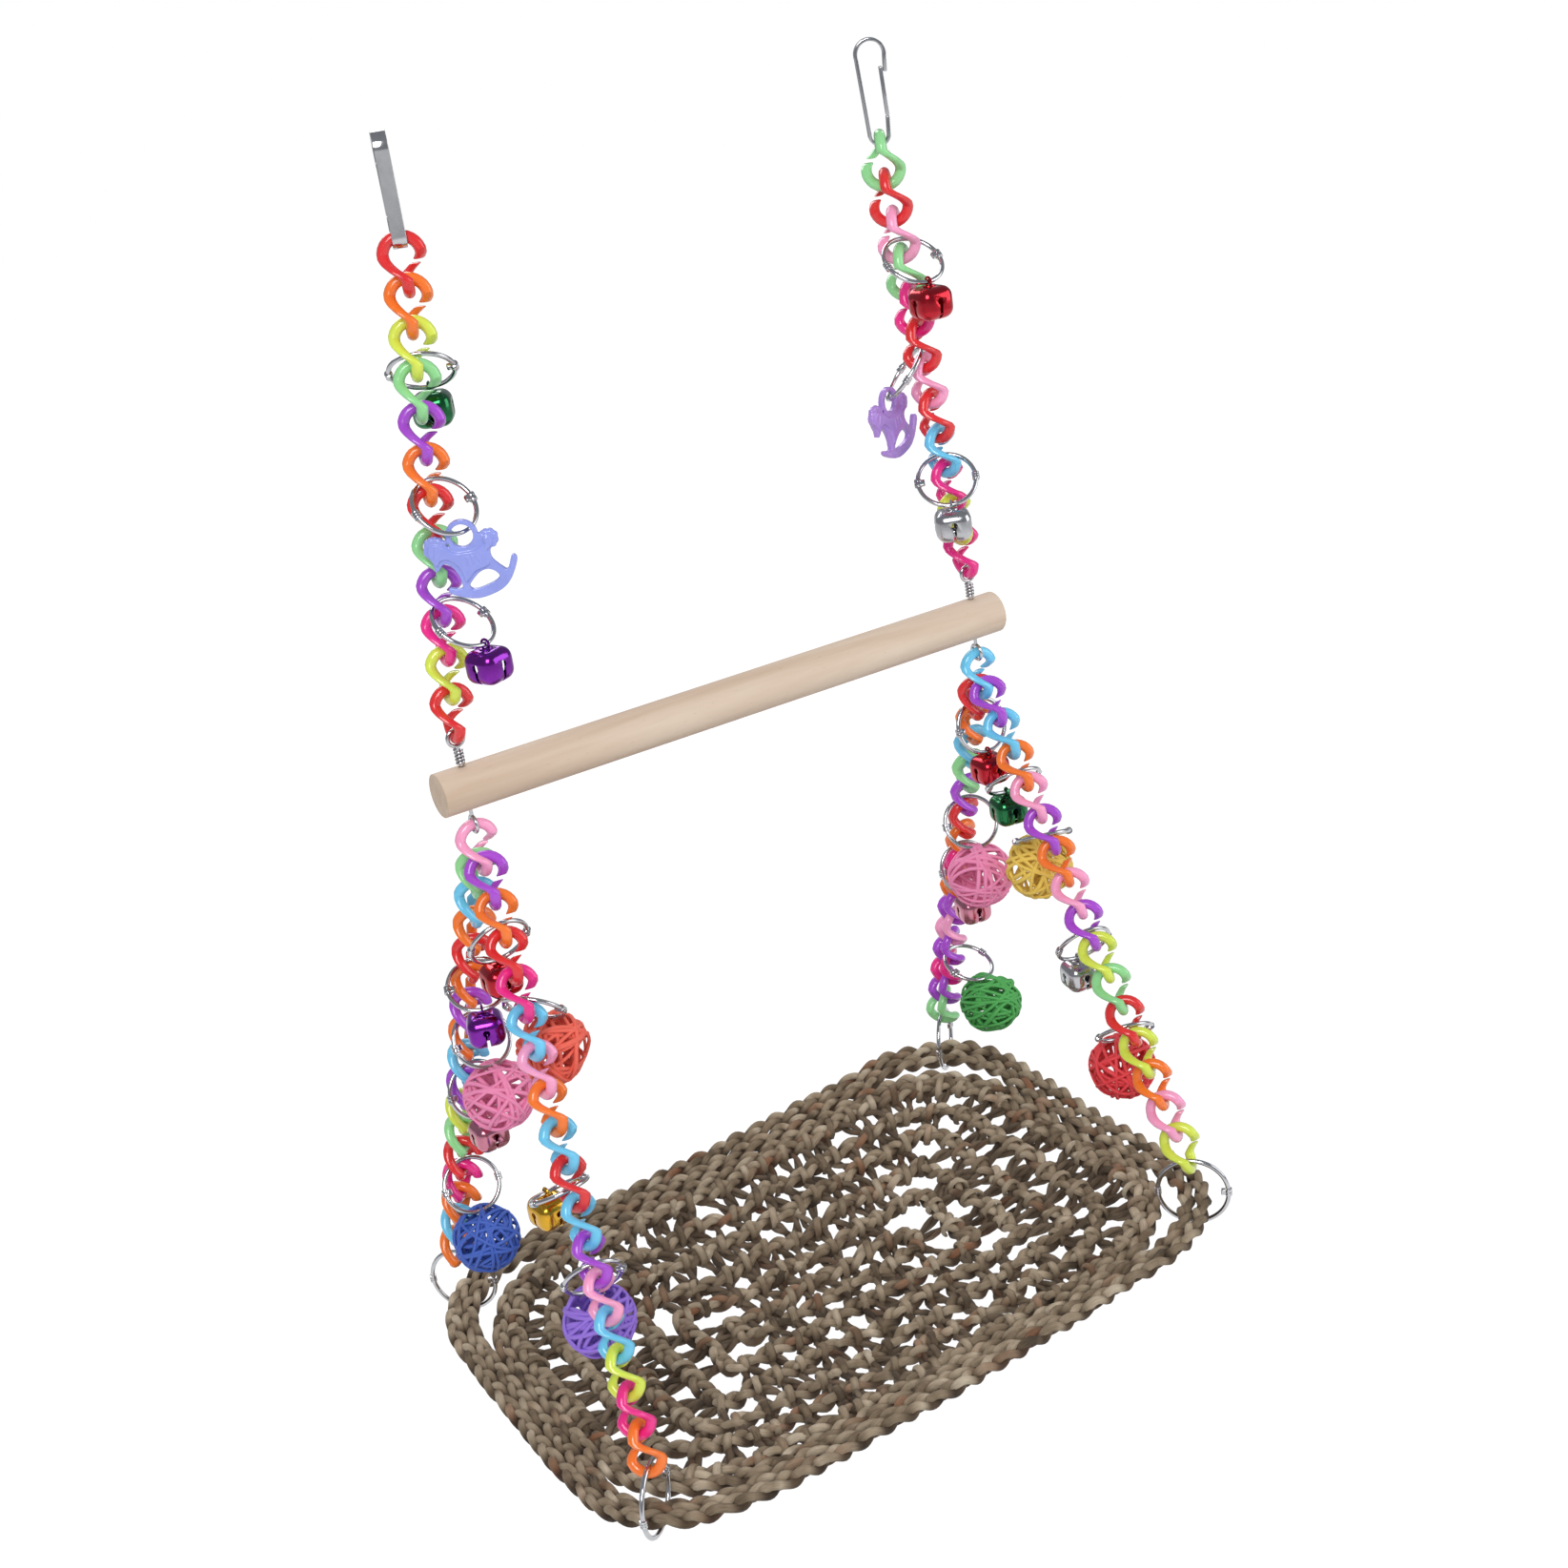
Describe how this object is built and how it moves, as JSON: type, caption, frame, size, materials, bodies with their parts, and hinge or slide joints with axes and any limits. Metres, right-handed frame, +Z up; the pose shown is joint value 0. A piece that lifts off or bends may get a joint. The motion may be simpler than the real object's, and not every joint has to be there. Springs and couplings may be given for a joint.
{
  "type": "bird swing",
  "caption": "Hanging bird swing: two twisted-link chains carry a wooden perch, and four more chains below it carry a woven grass mat, with bells, wicker balls and small horses on rings.",
  "frame": {"origin": "midpoint between the centres of the two hanging loops", "axes": "+Z up, +X from the left hook to the right hook, -Y towards the viewer of the picture"},
  "size_m": [0.3035, 0.226, 0.5148],
  "materials": {
    "chrome_wire": "polished",
    "link_red": "gloss",
    "link_mint": "gloss",
    "link_orange": "gloss",
    "link_lime": "gloss",
    "link_purple": "gloss",
    "link_magenta": "gloss",
    "link_pink": "gloss",
    "link_blue": "gloss",
    "perch_wood": "sanded",
    "bell_green": "metallic gloss",
    "horse_periwinkle": "gloss",
    "bell_purple": "metallic gloss",
    "bell_red": "metallic gloss",
    "horse_lavender": "gloss",
    "bell_silver": "polished",
    "ball_coral": "dyed wicker",
    "bell_gold": "metallic gloss",
    "ball_purple": "dyed wicker",
    "ball_pink": "dyed wicker",
    "bell_pink": "metallic gloss",
    "ball_blue": "dyed wicker",
    "ball_yellow": "dyed wicker",
    "ball_red": "dyed wicker",
    "ball_green": "dyed wicker",
    "grass_cord": "plaited seagrass",
    "grass_net": "crocheted seagrass"
  },
  "bodies": {
    "frame": {"hook_left": "chrome_wire", "hook_right": "chrome_wire", "first_link_left": "link_red", "first_link_right": "link_mint"},
    "gate_left": {"gate_left": "chrome_wire"},
    "gate_right": {"gate_right": "chrome_wire"},
    "upper_links": {"second_link_left": "link_orange", "second_link_right": "link_red"},
    "left_chain": {"left_lime_links": "link_lime", "left_mint_links": "link_mint", "left_purple_links": "link_purple", "left_orange_link": "link_orange", "left_red_links": "link_red", "left_magenta_link": "link_magenta", "left_rings": "chrome_wire"},
    "right_chain": {"right_pink_links": "link_pink", "right_mint_link": "link_mint", "right_magenta_links": "link_magenta", "right_red_links": "link_red", "right_blue_link": "link_blue", "right_lime_link": "link_lime", "right_rings": "chrome_wire"},
    "perch": {"perch": "perch_wood", "perch_wires": "chrome_wire"},
    "seat": {"leg_red_links": "link_red", "leg_orange_links": "link_orange", "leg_lime_links": "link_lime", "leg_mint_links": "link_mint", "leg_blue_links": "link_blue", "leg_purple_links": "link_purple", "leg_pink_links": "link_pink", "leg_magenta_links": "link_magenta", "leg_rings": "chrome_wire", "corner_rings": "chrome_wire", "mat_border": "grass_cord", "mat_net": "grass_net"},
    "left_bell_green": {"left_bell_green": "bell_green"},
    "left_horse": {"left_horse": "horse_periwinkle"},
    "left_bell_purple": {"left_bell_purple": "bell_purple"},
    "right_bell_red": {"right_bell_red": "bell_red"},
    "right_horse": {"right_horse": "horse_lavender"},
    "right_bell_silver": {"right_bell_silver": "bell_silver"},
    "front_left_bell_red": {"front_left_bell_red": "bell_red"},
    "front_left_ball_coral": {"front_left_ball_coral": "ball_coral"},
    "front_left_bell_gold": {"front_left_bell_gold": "bell_gold"},
    "front_left_ball_purple": {"front_left_ball_purple": "ball_purple"},
    "rear_left_bell_purple": {"rear_left_bell_purple": "bell_purple"},
    "rear_left_ball_pink": {"rear_left_ball_pink": "ball_pink"},
    "rear_left_bell_pink": {"rear_left_bell_pink": "bell_pink"},
    "rear_left_ball_blue": {"rear_left_ball_blue": "ball_blue"},
    "front_right_bell_green": {"front_right_bell_green": "bell_green"},
    "front_right_ball_yellow": {"front_right_ball_yellow": "ball_yellow"},
    "front_right_bell_silver": {"front_right_bell_silver": "bell_silver"},
    "front_right_ball_red": {"front_right_ball_red": "ball_red"},
    "rear_right_bell_red": {"rear_right_bell_red": "bell_red"},
    "rear_right_ball_pink": {"rear_right_ball_pink": "ball_pink"},
    "rear_right_bell_pink": {"rear_right_bell_pink": "bell_pink"},
    "rear_right_ball_green": {"rear_right_ball_green": "ball_green"}
  },
  "joints": [
    {"name": "gate_left_swing", "type": "hinge", "parent": "frame", "child": "gate_left", "pos_m": [-0.09677, 0.00379, -0.02263], "axis": [0.9511, -0.309, 0], "range_deg": [0, 15], "stiffness_Nm_per_rad": 0.002, "springref_deg": -5.73},
    {"name": "gate_right_swing", "type": "hinge", "parent": "frame", "child": "gate_right", "pos_m": [0.10151, -0.00187, -0.02263], "axis": [-0.4695, -0.8829, 0], "range_deg": [0, 15], "stiffness_Nm_per_rad": 0.002, "springref_deg": -5.73},
    {"name": "swing", "type": "hinge", "parent": "frame", "child": "upper_links", "pos_m": [0, 0, -0.04555], "axis": [1, 0, 0], "range_deg": [-15, 15]},
    {"name": "left_chain_sway", "type": "hinge", "parent": "upper_links", "child": "left_chain", "pos_m": [-0.09974, 0, -0.05976], "axis": [0, 1, 0], "range_deg": [-8, 8]},
    {"name": "right_chain_sway", "type": "hinge", "parent": "upper_links", "child": "right_chain", "pos_m": [0.09974, 0, -0.05976], "axis": [0, 1, 0], "range_deg": [-8, 8]},
    {"name": "perch_level", "type": "hinge", "parent": "left_chain", "child": "perch", "pos_m": [-0.115, 0, -0.20722], "axis": [0, 1, 0], "range_deg": [-7, 7]},
    {"name": "seat_swing", "type": "hinge", "parent": "perch", "child": "seat", "pos_m": [0, 0, -0.24162], "axis": [1, 0, 0], "range_deg": [-20, 20]},
    {"name": "left_bell_green_swing", "type": "hinge", "parent": "left_chain", "child": "left_bell_green", "pos_m": [-0.09236, 0.01563, -0.08376], "axis": [0.8829, -0.4695, 0], "range_deg": [0, 35]},
    {"name": "left_horse_swing", "type": "hinge", "parent": "left_chain", "child": "left_horse", "pos_m": [-0.10253, -0.015, -0.12983], "axis": [-0.9848, -0.1736, 0], "range_deg": [0, 25]},
    {"name": "left_bell_purple_swing", "type": "hinge", "parent": "left_chain", "child": "left_bell_purple", "pos_m": [-0.10249, -0.01617, -0.17089], "axis": [-0.9135, -0.4067, 0], "range_deg": [0, 35]},
    {"name": "right_bell_red_swing", "type": "hinge", "parent": "right_chain", "child": "right_bell_red", "pos_m": [0.10067, -0.0177, -0.08376], "axis": [-1, 0, 0], "range_deg": [0, 35]},
    {"name": "right_horse_swing", "type": "hinge", "parent": "right_chain", "child": "right_horse", "pos_m": [0.09173, 0.00715, -0.12983], "axis": [0.4695, 0.8829, 0], "range_deg": [0, 25]},
    {"name": "right_bell_silver_swing", "type": "hinge", "parent": "right_chain", "child": "right_bell_silver", "pos_m": [0.10163, -0.01396, -0.17258], "axis": [-0.866, 0.5, 0], "range_deg": [0, 35]},
    {"name": "front_left_bell_red_swing", "type": "hinge", "parent": "seat", "child": "front_left_bell_red", "pos_m": [-0.1168, 0.00022, -0.29769], "axis": [1, 0, 0], "range_deg": [0, 35]},
    {"name": "front_left_ball_coral_swing", "type": "hinge", "parent": "seat", "child": "front_left_ball_coral", "pos_m": [-0.10648, -0.01279, -0.32165], "axis": [0.6428, -0.766, 0], "range_deg": [0, 35]},
    {"name": "front_left_bell_gold_swing", "type": "hinge", "parent": "seat", "child": "front_left_bell_gold", "pos_m": [-0.12753, -0.0303, -0.38249], "axis": [0.9848, 0.1736, 0], "range_deg": [0, 35]},
    {"name": "front_left_ball_purple_swing", "type": "hinge", "parent": "seat", "child": "front_left_ball_purple", "pos_m": [-0.12373, -0.0499, -0.41899], "axis": [0.9836, -0.1803, 0], "range_deg": [0, 35]},
    {"name": "rear_left_bell_purple_swing", "type": "hinge", "parent": "seat", "child": "rear_left_bell_purple", "pos_m": [-0.12541, 0.00507, -0.31794], "axis": [-0.9397, 0.342, 0], "range_deg": [0, 35]},
    {"name": "rear_left_ball_pink_swing", "type": "hinge", "parent": "seat", "child": "rear_left_ball_pink", "pos_m": [-0.12035, 0.02202, -0.35163], "axis": [-0.9991, -0.0416, 0], "range_deg": [0, 35]},
    {"name": "rear_left_bell_pink_swing", "type": "hinge", "parent": "seat", "child": "rear_left_bell_pink", "pos_m": [-0.12262, 0.03874, -0.3811], "axis": [-0.9991, -0.0416, 0], "range_deg": [0, 35]},
    {"name": "rear_left_ball_blue_swing", "type": "hinge", "parent": "seat", "child": "rear_left_ball_blue", "pos_m": [-0.12857, 0.05534, -0.43246], "axis": [-0.9912, 0.1325, 0], "range_deg": [0, 35]},
    {"name": "front_right_bell_green_swing", "type": "hinge", "parent": "seat", "child": "front_right_bell_green", "pos_m": [0.12099, -0.00163, -0.30657], "axis": [0.9848, -0.1736, 0], "range_deg": [0, 35]},
    {"name": "front_right_ball_yellow_swing", "type": "hinge", "parent": "seat", "child": "front_right_ball_yellow", "pos_m": [0.12729, -0.01082, -0.32784], "axis": [0.9397, -0.342, 0], "range_deg": [0, 15]},
    {"name": "front_right_bell_silver_swing", "type": "hinge", "parent": "seat", "child": "front_right_bell_silver", "pos_m": [0.12577, -0.03468, -0.37637], "axis": [0.9848, -0.1736, 0], "range_deg": [0, 35]},
    {"name": "front_right_ball_red_swing", "type": "hinge", "parent": "seat", "child": "front_right_ball_red", "pos_m": [0.13255, -0.0496, -0.41306], "axis": [0.9397, -0.342, 0], "range_deg": [0, 35]},
    {"name": "rear_right_bell_red_swing", "type": "hinge", "parent": "seat", "child": "rear_right_bell_red", "pos_m": [0.11584, 0.0012, -0.28694], "axis": [-1, 0, 0], "range_deg": [0, 35]},
    {"name": "rear_right_ball_pink_swing", "type": "hinge", "parent": "seat", "child": "rear_right_ball_pink", "pos_m": [0.11664, 0.01981, -0.338], "axis": [-0.949, 0.3154, 0], "range_deg": [0, 15]},
    {"name": "rear_right_bell_pink_swing", "type": "hinge", "parent": "seat", "child": "rear_right_bell_pink", "pos_m": [0.1213, 0.0366, -0.36678], "axis": [-0.9836, 0.1803, 0], "range_deg": [0, 35]},
    {"name": "rear_right_ball_green_swing", "type": "hinge", "parent": "seat", "child": "rear_right_ball_green", "pos_m": [0.13486, 0.05211, -0.42102], "axis": [-0.9397, -0.342, 0], "range_deg": [0, 35]}
  ],
  "couplings": [
    {"joint": "right_chain_sway", "follows": "left_chain_sway", "ratio": 1},
    {"joint": "perch_level", "follows": "left_chain_sway", "ratio": -0.8674}
  ]
}
